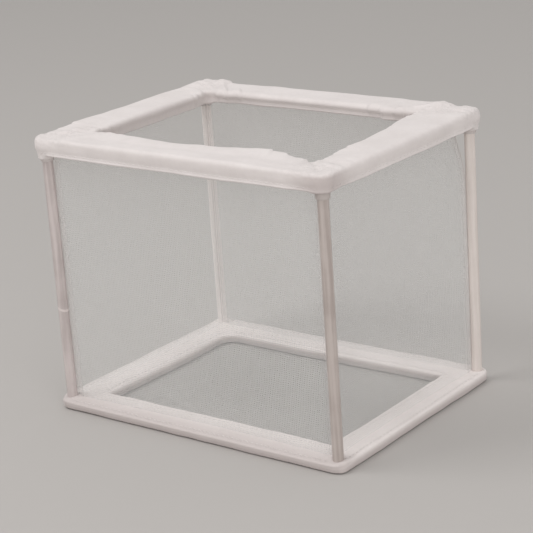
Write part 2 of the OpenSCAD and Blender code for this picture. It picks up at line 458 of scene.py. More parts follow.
def columns_of(side):
    """Places along a side, from -1 at one mitre to 1 at the other."""
    count = int(2 * SIDES[side].half_along / COLUMN_STEP)
    straight = np.linspace(TURN - 1, 1 - TURN, count + 1)
    turn = np.linspace(1 - TURN, 1, HALF_TURN_COLUMNS + 1)[1:]
    return np.concatenate([-turn[::-1], straight, turn])


def along_straight(t):
    """The place along the straight alone, which stays at -1 or 1 through the half turns."""
    return np.clip(t / (1 - TURN), -1, 1)


def on_border(side, t, inset, end_insets, inner_turns, width):
    """x and y at place t along a side, this far in from its outer face and from those at its ends."""
    (ux, uy), (nx, ny), half_along, half_out, corners = SIDES[side]
    end_inset = np.where(t < 0, *end_insets)
    inner = np.where(t < 0, *(inner_turns[corner] for corner in corners))
    base = np.minimum(inset, end_inset)
    turn = np.maximum(OUTER_CORNER - base, LEAST_TURN + inner * ease(base / width) ** 2)
    a = along_straight(t) * (half_along - end_inset - turn)
    angle = np.clip((np.abs(t) - 1 + TURN) / TURN, 0, 1) * math.pi / 4
    a = a + np.sign(t) * turn * np.sin(angle)
    o = half_out - inset - turn + turn * np.cos(angle)
    return ux * a + nx * o, uy * a + ny * o


print("columns along the front:", len(columns_of("front")))

# %% [markdown]
# ## The section of a sleeve
# Cut across, a sleeve is a rounded box with cloth all round. Cloth can't hold a sharp edge, so each
# corner has its own radius. A sweep of a curve with a bevel could make such a sleeve too, but it
# couldn't be wider in one place than in another, and real sewing never is as even as that.

# %% Draw a rounded section
ARC_POINTS = 7  # round each corner
SECTION_STEP = 0.9  # from one point to the next between the corners, or a little more


def towards(start, end):
    return (end - start) / np.linalg.norm(end - start)


def rounded_section(corners):
    """Points (inset, height) round a closed section. Each corner is (inset, height, radius)."""
    points = []
    for i, (x, z, r) in enumerate(corners):
        next_x, next_z, next_r = corners[(i + 1) % len(corners)]
        here, after = np.array((x, z)), np.array((next_x, next_z))
        back, on = towards(here, np.array(corners[i - 1][:2])), towards(here, after)
        centre = here + (back + on) * r
        for f in np.linspace(0, math.pi / 2, ARC_POINTS):
            points.append(centre - on * r * math.cos(f) - back * r * math.sin(f))
        start, end = here + on * r, after - on * next_r
        count = max(2, int(np.linalg.norm(end - start) / SECTION_STEP))
        points += [start + (end - start) * k / count for k in range(1, count)]
    return np.array(points)


hem_section = rounded_section([
    (HEM_WIDTH + PUFF / 2, INNER_BOTTOM - PUFF / 4, 0.9),
    (-PUFF, HEM_BOTTOM - PUFF / 4, 0.8),
    (-PUFF, HEM_TOP + PUFF, 2.0),
    (HEM_WIDTH + PUFF / 2, HEM_TOP + PUFF, 1.8),
])
band_section = rounded_section([
    (BAND_WIDTH, 0.0, 0.9),
    (0.0, 0.0, 1.1),
    (0.0, BAND_TOP, 1.1),
    (BAND_WIDTH, BAND_TOP, 1.2),
])
print("points round a hem:", len(hem_section), "and round a band:", len(band_section))

# %% [markdown]
# ## Uneven sewing
# The hems were cut and sewn by hand, so their inner edge wanders. Each list below says how much wider
# than the rail the cloth is at some places along a side, and the width eases from one to the next.
# Each side takes its ends from its neighbours' lists, so the sides still meet in one line there.

# %% Say where the cloth is wider


def eased(x, stops):
    """A value that eases from one (place, value) stop to the next."""
    places, values = (np.array(column, float) for column in zip(*stops))
    i = np.clip(np.searchsorted(places, x) - 1, 0, len(places) - 2)
    f = ease((x - places[i]) / (places[i + 1] - places[i]))
    return values[i] + (values[i + 1] - values[i]) * f


HEM_EXTRA = {
    "front": [
        (-66, 4.6), (-50, 4.2), (-33, 3.2), (-8, 2.2), (5, 3.6), (20, 6.0), (34, 8.3),
        (46, 8.8), (51, 5.8), (59, 3.2), (66, 0.4),
    ],
    "right": [(-47, 0.4), (-38, 0.3), (-28, 1.4), (-21, 0.9), (-12, 0.8), (10, 2.8), (33, 6.2), (47, 7.5)],
    "back": [(-66, 0.8), (-56, 1.6), (-47, 2.4), (-43, 0.5), (0, 0.3), (50, 0.3), (55, 1.6), (66, 0.6)],
    "left": [(-47, 0.1), (-20, 0.0), (15, 0.2), (35, 0.8), (47, 1.4)],
}
# how far the cloth hangs below the rail along the inner edge
HEM_SLACK = {
    "front": [(-66, 1.2), (-50, 0.9), (66, 0.6)],
    "right": [(-47, 0.6), (0, 0.9), (47, 0.4)],
    "back": [(-66, 0.4), (-50, -0.15), (57, -0.15), (66, 0.8)],
    "left": [(-47, 0.8), (-40, 1.6), (20, 1.8), (47, 1.2)],
}
# how much further in the cloth reaches at the top of the inner edge than below it
HEM_LEAN = {
    "front": [(-66, 0.3), (66, 0.2)],
    "right": [(-47, 0.2), (47, 0.3)],
    "back": [(-66, 0.4), (0, 0.5), (66, 0.9)],
    "left": [(-47, 1.2), (-38, 2.2), (38, 2.2), (47, 1.2)],
}
BAND_EXTRA = {
    "front": [(-66, 0.3), (-20, 0.0), (20, 0.4), (66, 0.2)],
    "right": [(-47, 0.2), (0, 0.0), (47, 0.3)],
    "back": [(-66, 1.2), (0, 1.8), (66, 2.0)],
    "left": [(-47, 2.2), (0, 2.6), (47, 1.6)],
}
# how round the cloth's inner edge turns at each corner, as a radius
HEM_TURNS = {"front_left": 4.0, "front_right": 1.6, "back_right": 1.2, "back_left": 1.5}
BAND_TURNS = {"front_left": 0.4, "front_right": 0.8, "back_right": 0.8, "back_left": 7.0}
print("widest place of a hem: +", max(v for stops in HEM_EXTRA.values() for _, v in stops), "mm")

# %% [markdown]
# ## Laying the cloth round the frame
# The four sleeves are laid out as one closed ring first and cut at the mitres afterwards. If each side
# were made by itself, its shading would stop at the mitre and a hard line would show on cloth that
# really runs round the corner.

# %% Lay out a ring of cloth
Ring = namedtuple("Ring", "section points columns places")


def ring_of(section, extra, turns, width, slack=None, lean=None):
    """A ring's points [column, place in the section], and each side's columns and places along it."""
    points, columns, places = [], {}, {}
    names = list(SIDES)
    inset, share = section[None, :, 0], ease(section[None, :, 0] / width)
    top, inner_bottom = section[:, 1].max(), section[section[:, 0] > width - 1, 1].min()
    low = share * ease((top - section[None, :, 1]) / (top - inner_bottom))

    def reach(side, where):
        wide = inset + eased(where, extra[side]) * share
        return wide + eased(where, lean[side]) * (share - low) if lean else wide

    for i, side in enumerate(names):
        t = columns_of(side)[:-1, None]
        half = SIDES[side].half_along
        before, after = names[i - 1], names[(i + 1) % 4]
        where = along_straight(t) * (half - width)
        ends = (
            reach(before, SIDES[before].half_along - width),
            reach(after, width - SIDES[after].half_along),
        )
        x, y = on_border(side, t, reach(side, where), ends, turns, width)
        z = np.broadcast_to(section[None, :, 1], x.shape)
        if slack:
            z = z - low * eased(where, slack[side])
        first = sum(len(p) for p in points)
        columns[side] = slice(first, first + len(t))
        places[side] = along_straight(t[:, 0]) * half
        points.append(np.stack([x, y, z], axis=2))
    return Ring(section, np.concatenate(points), columns, places)


def outward(points):
    """The direction out of the cloth at each point of a ring."""
    along = np.roll(points, -1, 0) - np.roll(points, 1, 0)
    round_it = np.roll(points, -1, 1) - np.roll(points, 1, 1)
    normal = np.cross(along, round_it)
    return normal / np.maximum(np.linalg.norm(normal, axis=2, keepdims=True), 1e-9)


hem_ring = ring_of(hem_section, HEM_EXTRA, HEM_TURNS, HEM_WIDTH, HEM_SLACK, HEM_LEAN)
band_ring = ring_of(band_section, BAND_EXTRA, BAND_TURNS, BAND_WIDTH)
middle = hem_ring.points[len(columns_of("front")) // 2, len(hem_section) // 2]
print("ring of", hem_ring.points.shape[:2], "points; one of them is at", middle.round(1))

# %% [markdown]
# ## Folds and puckers
# Cloth that is pulled over a rail does three things. Along the straights it swells a little and is
# nearly smooth. Near a corner there is too much of it, so it puckers into short ripples that run
# round the rail. Here and there a spare bit was folded under, and the fold leaves a small step.
#
# A cloth simulation could find such shapes, and it is the usual way for a cushion. These folds are
# where somebody's fingers left them, so they are listed one by one, which also keeps the cloth's size
# as it was cut. Noise of the place in space gives the rest, and it is the same on both sides of a
# mitre.

# %% Tools for folds
SEED_STEP = 7.31  # sends each seed to another part of the noise
FOLD_STEP = 0.7  # how wide the step of a fold is


def clouds_at(points, size, seed):
    """Smooth noise at each point, about -0.6 to 0.6, with swells of this size in millimetres."""
    flat = points.reshape(-1, 3) / size + seed * SEED_STEP
    return np.array([noise.noise(p) for p in flat.tolist()]).reshape(points.shape[:-1])


def bump_at(points, x, y, radius, height):
    """A round swelling in plan."""
    away = ((points[..., 0] - x) ** 2 + (points[..., 1] - y) ** 2) / radius**2
    return height * np.exp(-away)


def fold_at(place, at, reach):
    """A step at one place along a side that dies away over the reach. A minus sign turns it round."""
    past = (place - at) * np.sign(reach)
    return ease(past / FOLD_STEP + 0.5) * np.exp(-np.maximum(past, 0) / abs(reach))


def from_mitre(side, place):
    """How far a place along a side is from the nearer of its two mitres."""
    return SIDES[side].half_along - np.abs(place)


print("tools for folds are ready")

# %% [markdown]
# The ripples of a pucker run round the rail, so their noise is short along the side and long round
# the section. Right at the mitre the two directions meet, so there the noise is the same in every
# direction, and the two kinds melt into each other a few millimetres away.

# %% Fold the hems
# lumps: x, y, radius and height
HEM_BUMPS = [
    (-75, 56, 7.5, 2.0), (-66, 60, 3.5, 1.0), (-78, 46, 5, 0.7),
    (77, 57, 5.5, 1.3), (61, 59, 6.0, 1.4), (78, 42, 7, 0.6),
    (-78, -58, 6, 0.6), (-60, -58, 8, 0.4), (75, -57, 9, 0.3),
]
# folds: side, place along it, how far the fold reaches, height, and where on the section
HEM_FOLDS = [
    ("front", 49, -16, 0.7, "inner"), ("front", -70, 7, 0.35, "top"),
    ("right", -30, 7, 0.6, "inner"), ("right", 22, -9, 0.35, "inner"), ("right", 53, -6, 0.5, "top"),
    ("back", -45, -12, 0.8, "inner"), ("back", 58, 9, 0.9, "inner"), ("back", 68, 6, 0.9, "top"),
    ("back", -67, -6, 0.7, "top"), ("left", 38, -14, 1.0, "outer"), ("left", -49, -7, 0.7, "inner"),
]


def where_on_section(section):
    """How much each point of the section belongs to the top, the inner half and the outer face."""
    inset, z = section[:, 0] / section[:, 0].max(), section[:, 1]
    high = ease((z - z.min()) / (z.max() - z.min()) * 1.6 - 0.5)
    return {"top": high, "inner": high * ease(inset * 1.8 - 0.7), "outer": ease(0.75 - inset * 2.5)}


def cloth_folds(ring, folds, swell, pucker, reach, seed):
    """How far each point of a ring of cloth stands out, in millimetres."""
    out = np.zeros(ring.points.shape[:2])
    parts = where_on_section(ring.section)
    for side, columns in ring.columns.items():
        spot, place = ring.points[columns], ring.places[side]
        away = from_mitre(side, place)[:, None]
        arch = np.sin(math.pi * np.clip(away / SIDES[side].half_along / 1.2, 0, 0.5))
        out[columns] += swell * arch * parts["top"]
        squeeze = (1, 3.5, 3.0) if side in ("front", "back") else (3.5, 1, 3.0)
        ripple, round_ripple = clouds_at(spot / squeeze, 2.6, seed), clouds_at(spot, 4.0, seed + 1)
        mix = ease(away / 7)
        strength = pucker * np.exp(-((np.maximum(away - 4, 0) / reach) ** 2)) + 0.05
        strength = strength * (1 - 0.85 * parts["outer"])
        out[columns] += strength * (mix * ripple + (1 - mix) * round_ripple)
        for owner, at, length, height, where in folds:
            if owner == side:
                out[columns] += height * fold_at(place, at, length)[:, None] * parts[where]
    out += 0.55 * clouds_at(ring.points, 26, seed + 2) + 0.22 * clouds_at(ring.points, 9, seed + 3)
    return out


hem_out = cloth_folds(hem_ring, HEM_FOLDS, swell=0.75, pucker=1.0, reach=13, seed=1)
print("the hems stand out by", hem_out.min().round(2), "to", hem_out.max().round(2), "mm")

# %% [markdown]
# Along the lower outer edge the sleeve is closed with a row of stitches. The thread pulls the cloth
# in, and the edge below it stands out as a small lip. The front hem was also pressed along its upper
# edge, which left a narrow bead there. The corners carry the lumps of cloth that the rails' corner
# pieces push up.

# %% Shape the hems
STITCH_UP = 1.7  # from a hem's lower edge up to its row of stitches
FUNNEL_TALL = 3.4  # how far above a hem's lower edge the cloth starts to be drawn in
FUNNEL_END = 4.0  # from a post's axis to the cloth that is drawn in all the way
FUNNEL_BEHIND = 7  # how far behind a post, towards the middle of the box, the pull dies away
DROP_EDGE, DROP_SOFT = 6.5, 3  # the cloth hangs lower up to this far from the axis, with a soft end
# for each corner: the share by which the cloth is drawn in to the collar, and how far down it comes
FUNNELS = {
    "front_left": (0.85, 2.3),
    "front_right": (0.1, 0.8),
    "back_right": (0.85, 2.3),
    "back_left": (0.4, 1.4),
}
# ridges and, below 0, grooves: how high they are, where they run and how wide they are
OUTER_RIDGES = [
    (0.18, HEM_BOTTOM + 0.5, 0.5), (-0.25, HEM_BOTTOM + STITCH_UP, 0.5), (0.20, HEM_BOTTOM + 4.0, 1.4),
]
INNER_RIDGES = [(0.35, INNER_BOTTOM + 0.6, 0.7), (-0.25, INNER_BOTTOM + 2.1, 0.7)]
FRONT_GROOVES = [(-0.25, 3.0, 0.9), (-0.45, 8.0, 2.4)]


def line_on(values, at, width):
    """1 at one height or inset and dying away on both sides of it."""
    return np.exp(-(((values - at) / width) ** 2))


def ridges(values, rows):
    """All the ridges and grooves of a list, added up at each height or inset."""
    return sum(height * line_on(values, at, width) for height, at, width in rows)


def draw_in(points, ring_points):
    """Draws the cloth in and down round each post, like a funnel on the collar."""
    low = ease((HEM_BOTTOM + FUNNEL_TALL - ring_points[..., 2]) / FUNNEL_TALL)
    for corner, (share, drop) in FUNNELS.items():
        sx, sy = SIGNS[corner]
        a, b = sx * points[..., 0] - POST_X, sy * points[..., 1] - POST_Y
        out_a, out_b = np.maximum(a, 0), np.maximum(b, 0)
        radius = np.maximum(np.hypot(out_a, out_b), 0.01)
        near = ease((np.minimum(a, b) + FUNNEL_BEHIND) / FUNNEL_BEHIND) * low
        shrink = near * share * np.maximum(radius - FUNNEL_END, 0) / radius
        points[..., 0] -= sx * shrink * out_a
        points[..., 1] -= sy * shrink * out_b
        points[..., 2] -= drop * low * ease((DROP_EDGE - np.hypot(a, b)) / DROP_SOFT)


def shape_hems():
    inset, z = hem_section.T
    section_out = ridges(z, OUTER_RIDGES) * (inset < 1.2)
    section_out += ridges(z, INNER_RIDGES) * (inset > HEM_WIDTH - 0.8)
    out = hem_out + section_out
    # a bead along the front's upper outer edge, and shallow grooves behind it
    bead = 0.55 * line_on(np.hypot(inset - 0.2, z - HEM_TOP + 0.2), 0, 0.8)
    bead += ridges(inset, FRONT_GROOVES) * (z > HEM_TOP)
    fade = ease((from_mitre("front", hem_ring.places["front"]) - 6) / 12)
    out[hem_ring.columns["front"]] += fade[:, None] * bead
    points = hem_ring.points + outward(hem_ring.points) * np.maximum(out, -0.25)[..., None]
    top = where_on_section(hem_section)["top"]
    for bump in HEM_BUMPS:
        points[..., 2] += bump_at(hem_ring.points, *bump) * top
    draw_in(points, hem_ring.points)
    return points


hem_points = shape_hems()
print("highest place of the hems:", hem_points[..., 2].max().round(2), "mm")

# %% [markdown]
# ## Flat bands
# The bottom bands are lower and tighter: flat on top, with a raised lip along the inner edge where
# the cloth is turned under, and a shallow groove under each row of stitches. Nothing reaches below
# the table. At each post the cloth rises a little round the tube that comes through it. Along the
# front the outer face leans out, and the band's top slopes down to it.

# %% Shape the bands
BAND_FOLDS = [
    ("front", -66, 5, 0.3, "top"), ("front", 62, -6, 0.25, "inner"), ("right", -50, 5, 0.3, "top"),
    ("right", 50, -5, 0.35, "top"), ("back", -62, 6, 0.3, "top"), ("back", 60, -5, 0.3, "top"),
    ("left", 50, -6, 0.35, "top"), ("left", -38, 8, 0.25, "inner"),
]
BAND_BUMP = (-77, -58, 6, 0.5)
BAND_RIDGES = [(0.4, BAND_WIDTH - 0.8, 1.0), (-0.2, 2.6, 0.7), (-0.2, BAND_WIDTH - 2.6, 0.7)]
FRONT_SLOPE = 6  # how much of the front band's width slopes down
LOWEST = 0.05  # the cloth stops just above the table


def shape_bands():
    inset, z = band_section.T
    flat = band_ring.points
    out = cloth_folds(band_ring, BAND_FOLDS, swell=0.1, pucker=0.45, reach=10, seed=11) * 0.6
    out += ridges(inset, BAND_RIDGES) * (z > BAND_TOP - 1.5)
    points = flat + outward(flat) * np.maximum(out, -0.15)[..., None]
    top = where_on_section(band_section)["top"]
    for sx, sy in SIGNS.values():
        away = np.hypot(flat[..., 0] - sx * POST_X, flat[..., 1] - sy * POST_Y)
        points[..., 2] += 0.5 * line_on(away, 3.2, 1.1) * top
    points[..., 2] += bump_at(flat, *BAND_BUMP) * top
    # the outer face of the front leans out, and the top slopes down to it
    height, from_front = flat[..., 2] / BAND_TOP, flat[..., 1] + HALF_WIDTH
    points[..., 1] -= (from_front < 1.5) * (1.2 * height - 0.3)
    points[..., 2] -= 0.7 * height * ease((FRONT_SLOPE - from_front) / FRONT_SLOPE)
    points[..., 2] = np.maximum(points[..., 2], LOWEST)
    return points


band_points = shape_bands()
print("highest place of the bands:", band_points[..., 2].max().round(2), "mm")

# %% [markdown]
# ## From points to a cloth mesh
# Cloth has two faces and an edge. The outer face is the points as they are, and the inner one is the
# same points moved in by the thickness. A Solidify modifier does that too. Doing it here keeps the
# shading of the whole ring, because the direction of every point can be handed on to the mesh.
#
# Each point's place on the flat cloth is measured along the piece and round it, and kept as the
# mesh's UV map. That is where the fabric's pattern comes from.

# %% Make cloth meshes


def grid_faces(rows, columns, wrap):
    """Faces between neighbouring points of a grid. wrap joins its last column to its first."""
    faces = []
    for r in range(rows - 1):
        for c in range(columns if wrap else columns - 1):
            a, b = r * columns + c, r * columns + (c + 1) % columns
            faces.append([a, b, b + columns, a + columns])
    return faces


def smooth_piece(name, points, faces, finish):
    """A smooth piece in the scene, from points in millimetres."""
    mesh = bpy.data.meshes.new(name)
    mesh.from_pydata((points.reshape(-1, 3) * MM).tolist(), [], faces)
    mesh.polygons.foreach_set("use_smooth", [True] * len(faces))
    mesh.materials.append(finish)
    return add_to_scene(name, mesh)


def cut_of(points):
    """The place of each point on the flat cloth: along the piece, and round or across it, in metres."""
    steps = np.linalg.norm(np.diff(points, axis=0), axis=2)
    along = np.concatenate([np.zeros((1, points.shape[1])), np.cumsum(steps, axis=0)])
    along -= along[len(points) // 2]
    row = points[len(points) // 2]
    across = np.concatenate([[0], np.cumsum(np.linalg.norm(np.diff(row, axis=0), axis=1))])
    return np.stack([along, np.broadcast_to(across, along.shape)], axis=2) * MM


def girth_of(cut):
    """The whole way round a closed sleeve: its last step, back to the start, is as long as its first."""
    return cut[0, -1, 1] + cut[0, 1, 1]


def lay_cut(mesh, points, wrap):
    """Writes the places on the flat cloth as the mesh's UV map. wrap closes the last turn."""
    rows, columns = points.shape[:2]
    cut = cut_of(points)
    corner = np.zeros(len(mesh.loops), int)
    mesh.loops.foreach_get("vertex_index", corner)
    corner %= rows * columns
    uv = cut.reshape(-1, 2)[corner]
    if wrap:
        column = corner % columns
        crosses = np.zeros(len(mesh.loops), bool)
        for p in mesh.polygons:
            on = slice(p.loop_start, p.loop_start + p.loop_total)
            if (column[on] == 0).any() and (column[on] == columns - 1).any():
                crosses[on] = True
        uv[crosses & (column == 0), 1] = girth_of(cut)
    mesh.uv_layers.new(name="cloth").data.foreach_set("uv", uv.reshape(-1))


def cloth_mesh(name, points, normals, thickness, wrap, finish):
    """A cloth with two faces and closed edges."""
    rows, columns = points.shape[:2]
    count, last = rows * columns, (rows - 1) * columns
    quads = grid_faces(rows, columns, wrap)
    edges = [(c, (c + 1) % columns) for c in range(columns if wrap else columns - 1)]
    edges += [(last + b, last + a) for a, b in edges]
    if not wrap:
        edges += [(a + columns, a) for a in range(0, last, columns)]
        edges += [(a, a + columns) for a in range(columns - 1, last, columns)]
    faces = [quad[::-1] for quad in quads] + [[n + count for n in quad] for quad in quads]
    faces += [[a, b, b + count, a + count] for a, b in edges]
    both = np.concatenate([points.reshape(-1, 3), (points - normals * thickness).reshape(-1, 3)])
    piece = smooth_piece(name, both, faces, finish)
    lay_cut(piece.data, points, wrap)
    directions = np.concatenate([normals.reshape(-1, 3), -normals.reshape(-1, 3)])
    piece.data.normals_split_custom_set_from_vertices(directions.tolist())
    return piece


print("ready to make cloth")

# %% [markdown]
# The ring is cut into its four sleeves here. Each one stands for the plain sleeve of the frame on its
# side, and moves with the same body: the hems lift off with the top frame, the bands stay below.

# %% Cut the rings into sleeves
CLOTH = 0.45  # thickness of the sleeves' fabric
Sleeve = namedtuple("Sleeve", "cloth points normals")


def sleeves_of(kind, ring, points, body, finish):
    made = {}
    for side, columns in ring.columns.items():
        rows = np.arange(columns.start, columns.stop + 1) % len(points)
        own, normals = points[rows], outward(points)[rows]
        cloth = cloth_mesh(f"{kind}_{side}_cloth", own, normals, CLOTH, True, finish)
        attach(cloth, body)
        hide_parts(f"{kind}_{side}")
        made[side] = Sleeve(cloth, own, normals)
    return made


hems = sleeves_of("top_hem", hem_ring, hem_points, "top_frame", hem_fabric)
bands = sleeves_of("bottom_band", band_ring, band_points, "base_frame", band_fabric)
print("sleeves:", ", ".join(sleeve.cloth.name for sleeve in [*hems.values(), *bands.values()]))

# %% [markdown]
# ## Stitches
# A machine seam is a row of short threads with small gaps, each one sunk at both ends where it goes
# through the cloth. Each stitch here is a thin pod along the cloth's surface, arched in the middle.
# A texture could fake them, but real pods catch the light at a low angle, and there are few enough.

# %% Sew the stitches
STITCH_PITCH, STITCH_LENGTH, STITCH_THICK = 2.7, 1.9, 0.42
STITCH_FREE = 3  # no stitches this near to a mitre
STITCH_SIDES = 6  # a stitch is a six-sided pod
# the rings of a pod: place along it as a share of its length, fatness, and height over the cloth
STITCH_RINGS = (
    (-0.5, 0.15, -0.10), (-0.32, 0.8, 0.10), (0, 1, 0.18), (0.32, 0.8, 0.10), (0.5, 0.15, -0.10),
)
BAND_SEAM = 2.4  # from a band's edges in to its rows of stitches


def along_line(line, normals, distance):
    """The point and the direction out of the cloth at a distance along a line of points."""
    steps = np.linalg.norm(np.diff(line, axis=0), axis=1)
    reach = np.concatenate([[0], np.cumsum(steps)])
    point = np.array([np.interp(distance, reach, line[:, k]) for k in range(3)])
    out = np.array([np.interp(distance, reach, normals[:, k]) for k in range(3)])
    return point, out / np.linalg.norm(out)


def stitch_points(line, normals, middle):
    """The points of one stitch, ring by ring."""
    before, _ = along_line(line, normals, middle - 0.4)
    after, out = along_line(line, normals, middle + 0.4)
    aside = np.cross(towards(before, after), out)
    points = []
    for share, fat, lift in STITCH_RINGS:
        centre, _ = along_line(line, normals, middle + share * STITCH_LENGTH)
        for angle in np.arange(STITCH_SIDES) * 2 * math.pi / STITCH_SIDES:
            round_it = aside * math.cos(angle) * 0.5 + out * math.sin(angle) * 0.38
            points.append(centre + out * lift + round_it * STITCH_THICK * fat)
    return points


def stitch_row(name, line, normals):
    """A row of stitches along a line of points on the cloth."""
    total = np.linalg.norm(np.diff(line, axis=0), axis=1).sum()
    head = list(range(STITCH_SIDES))
    tail = [n + (len(STITCH_RINGS) - 1) * STITCH_SIDES for n in head]
    pod = [*grid_faces(len(STITCH_RINGS), STITCH_SIDES, True), head[::-1], tail]
    points, faces = [], []
    for k in range(int((total - 2 * STITCH_FREE) / STITCH_PITCH)):
        faces += [[n + len(points) for n in face] for face in pod]
        points += stitch_points(line, normals, STITCH_FREE + (k + 0.5) * STITCH_PITCH)
    return smooth_piece(name, np.array(points), faces, thread_finish)


def nearest_row(section, inset, height):
    return int(np.argmin((section[:, 0] - inset) ** 2 + (section[:, 1] - height) ** 2))


def sew(made, kind, section, spots, body):
    """Rows of stitches on the sleeves, at the named spots of their section."""
    rows = {}
    for side, (_, points, normals) in made.items():
        rows[side] = []
        for label, (inset, height) in spots.items():
            i = nearest_row(section, inset, height)
            row = stitch_row(f"{kind}_{side}_{label}", points[:, i], normals[:, i])
            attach(row, body)
            rows[side].append(row)
    return rows


hem_spots = {"edge": (-PUFF, HEM_BOTTOM + STITCH_UP)}
band_spots = {"outer": (BAND_SEAM, BAND_TOP), "inner": (BAND_WIDTH - BAND_SEAM, BAND_TOP)}
hem_stitches = sew(hems, "stitches_top", hem_section, hem_spots, "top_frame")
band_stitches = sew(bands, "stitches_bottom", band_section, band_spots, "base_frame")
print("rows of stitches:", sum(len(r) for r in [*hem_stitches.values(), *band_stitches.values()]))

# %% [markdown]
# A sleeve was a strip as long as its side's outer edge and as wide as its way round the rail. Its
# ends were mitred, and it was folded over and sewn shut. Each sleeve's way round is worked out below,
# and nothing more is done with it.

# %% Work out each sleeve's way round


def declare_sleeves(made):
    for side, (cloth, points, _) in made.items():
        girth = float(girth_of(cut_of(points)))


declare_sleeves(hems)
declare_sleeves(bands)

# %% [markdown]
# ## Fine net
# The net is a knitted nylon mesh. Its strands are about a millimetre apart, so that water passes and
# the smallest fish don't. Modelling every thread would take millions of faces. The threads are drawn
# in the material instead, as a grid of lines that are nearly solid, with holes that are nearly clear.
# From a little way off the two mix into a pale veil, as they do in the real one.

# %% Knit the net
NET_PITCH = 0.00095  # from one strand to the next
STRAND = 0.00014  # how thick a strand is
STRAND_SOFT = 0.00004  # how softly it ends on either side


def on_strand(place):
    """1 on a strand and 0 in a hole, along one direction."""
    away = place.zigzag(NET_PITCH / 2)
    return away.span(STRAND / 2 - STRAND_SOFT, STRAND / 2 + STRAND_SOFT, 1, 0)


def fine_net():
    finish = Finish("fine net", (0.86, 0.86, 0.85), 0.55)
    cut = finish.cut()
    u, v, _ = cut.parts()
    wander = cut.mottle(130, 1.0)
    across, up = on_strand(u + wander * 0.0011), on_strand(v - wander * 0.0009)
    strands, knots = across.larger(up), across * up
    finish.set("Base Color", finish.blend(knots, (0.86, 0.86, 0.85), (0.92, 0.92, 0.91)))
    finish.set("Alpha", strands.span(0, 1, 0.05, 0.64))
    finish.relief(strands + knots, 0.0001)
    return finish.material


net_finish = fine_net()
print("net:", net_finish.name)

# %% [markdown]
# ## Net walls
# Each wall is one flat panel between two corner seams, sewn into the band below and the hem above. It
# is held at its edges only, so it waves a little in between. The corner seams lie against the posts and
# are pulled in under the hem, one of them more than the rest. `bow` gives that pull for a corner at any
# height, so the walls and the seams below share one shape.

# %% Hang the net walls
NET_OUT = 1.6  # how far the corner seams stand out, until they touch the posts
NET_IN = 0.3  # from the outer face of the frame's plain net in to the cloth
NET_FOOT, NET_HEAD = BAND_TOP - 0.4, net_high[2] + 0.3
WALL_ROWS = 62
COLLAR_MOUTH = HEM_BOTTOM - 3.5
# for each corner: how far in its seam is at the collar's mouth, and how far below the pull starts
PULLED_IN = {
    "front_left": (-1.05, 5),
    "front_right": (-0.9, 6),
    "back_right": (1.45, 23),
    "back_left": (-0.4, 12),
}


def bow(corner, z):
    """How far in a corner seam is at a height, towards the middle of the box. Below 0 it stands out."""
    pull, reach = PULLED_IN[corner]
    return -NET_OUT + (pull + NET_OUT) * (1 - np.clip((COLLAR_MOUTH - z) / reach, 0, 1)) ** 1.5


def net_wall(side, seed):
    """Points [height, place along] of one wall, bowed by the seams at its two ends."""
    (ux, uy), (nx, ny), _, _, (first, last) = SIDES[side]
    half, out = (NET_X, NET_Y) if side in ("front", "back") else (NET_Y, NET_X)
    half, out = half - NET_IN, out - NET_IN
    z = np.linspace(NET_FOOT, NET_HEAD, WALL_ROWS)[:, None]
    t = np.linspace(-1, 1, int(half) + 1)[None, :]
    left, right = bow(first, z) * ((1 - t) / 2) ** 3, bow(last, z) * ((1 + t) / 2) ** 3
    a, o = t * half + left - right, out - left - right
    points = np.stack([ux * a + nx * o, uy * a + ny * o, np.broadcast_to(z, a.shape)], axis=2)
    held = (1 - t**8) * np.clip((z - NET_FOOT) / 10, 0, 1) * np.clip((NET_HEAD - z) / 10, 0, 1)
    wave = 1.1 * clouds_at(points, 42, seed) * held
    return points + wave[..., None] * (nx, ny, 0)


def single_sheet(name, points):
    """One layer of cloth, as thin as a net is."""
    rows, columns = points.shape[:2]
    sheet = smooth_piece(name, points, grid_faces(rows, columns, False), net_finish)
    lay_cut(sheet.data, points, False)
    return sheet


def span_frames(cloth, plain):
    """Keeps a cloth where it stands, in world space, and hides the frame's plain piece that it replaces.
    """
    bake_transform(cloth)
    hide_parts(plain)


def hang_walls():
    for seed, side in enumerate(SIDES):
        wall = single_sheet(f"net_{side}_cloth", net_wall(side, 20 + seed))
        span_frames(wall, f"net_{side}")
        width = 2 * (NET_X if side in ("front", "back") else NET_Y) * MM
        tall = (NET_HEAD - NET_FOOT) * MM
        print(f"{wall.name}: {1000 * width:.0f} x {1000 * tall:.0f} mm")


hang_walls()

# %% [markdown]
# ## Net floor
# The floor hangs between the inner edges of the four bands. Nothing carries it in the middle, so it
# sags a millimetre there and still clears the table.

# %% Lay the net floor
FLOOR_TUCK = 1.2  # how far the net reaches on past the frame's plain floor, into the bands
FLOOR_SAG = 0.9


def net_floor():
    (x_low, y_low), (x_high, y_high) = floor_low[:2] - FLOOR_TUCK, floor_high[:2] + FLOOR_TUCK
    x, y = np.meshgrid(np.linspace(x_low, x_high, 68), np.linspace(y_low, y_high, 50), indexing="ij")
    points = np.stack([x, y, np.full_like(x, (floor_low[2] + floor_high[2]) / 2)], axis=2)
    slack = (1 - (x / x_high) ** 4) * (1 - (y / y_high) ** 4)
    points[..., 2] += slack * (0.8 * clouds_at(points, 38, 31) - FLOOR_SAG)
    sheet = single_sheet("net_floor_cloth", points)
    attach(sheet, "base_frame")
    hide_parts("net_floor")
    print("lowest place of the net floor:", points[..., 2].min().round(2), "mm")


net_floor()

# %% [markdown]
# ## Corner seams
# Where two walls meet, a narrow strip of net is folded double over their edges and sewn on. It is an L
# from above. Along the stitching it is closed and pale, and beside it the net shows through.
# Each tape runs the whole height of the net, and it is fixed in place in world space like the walls.

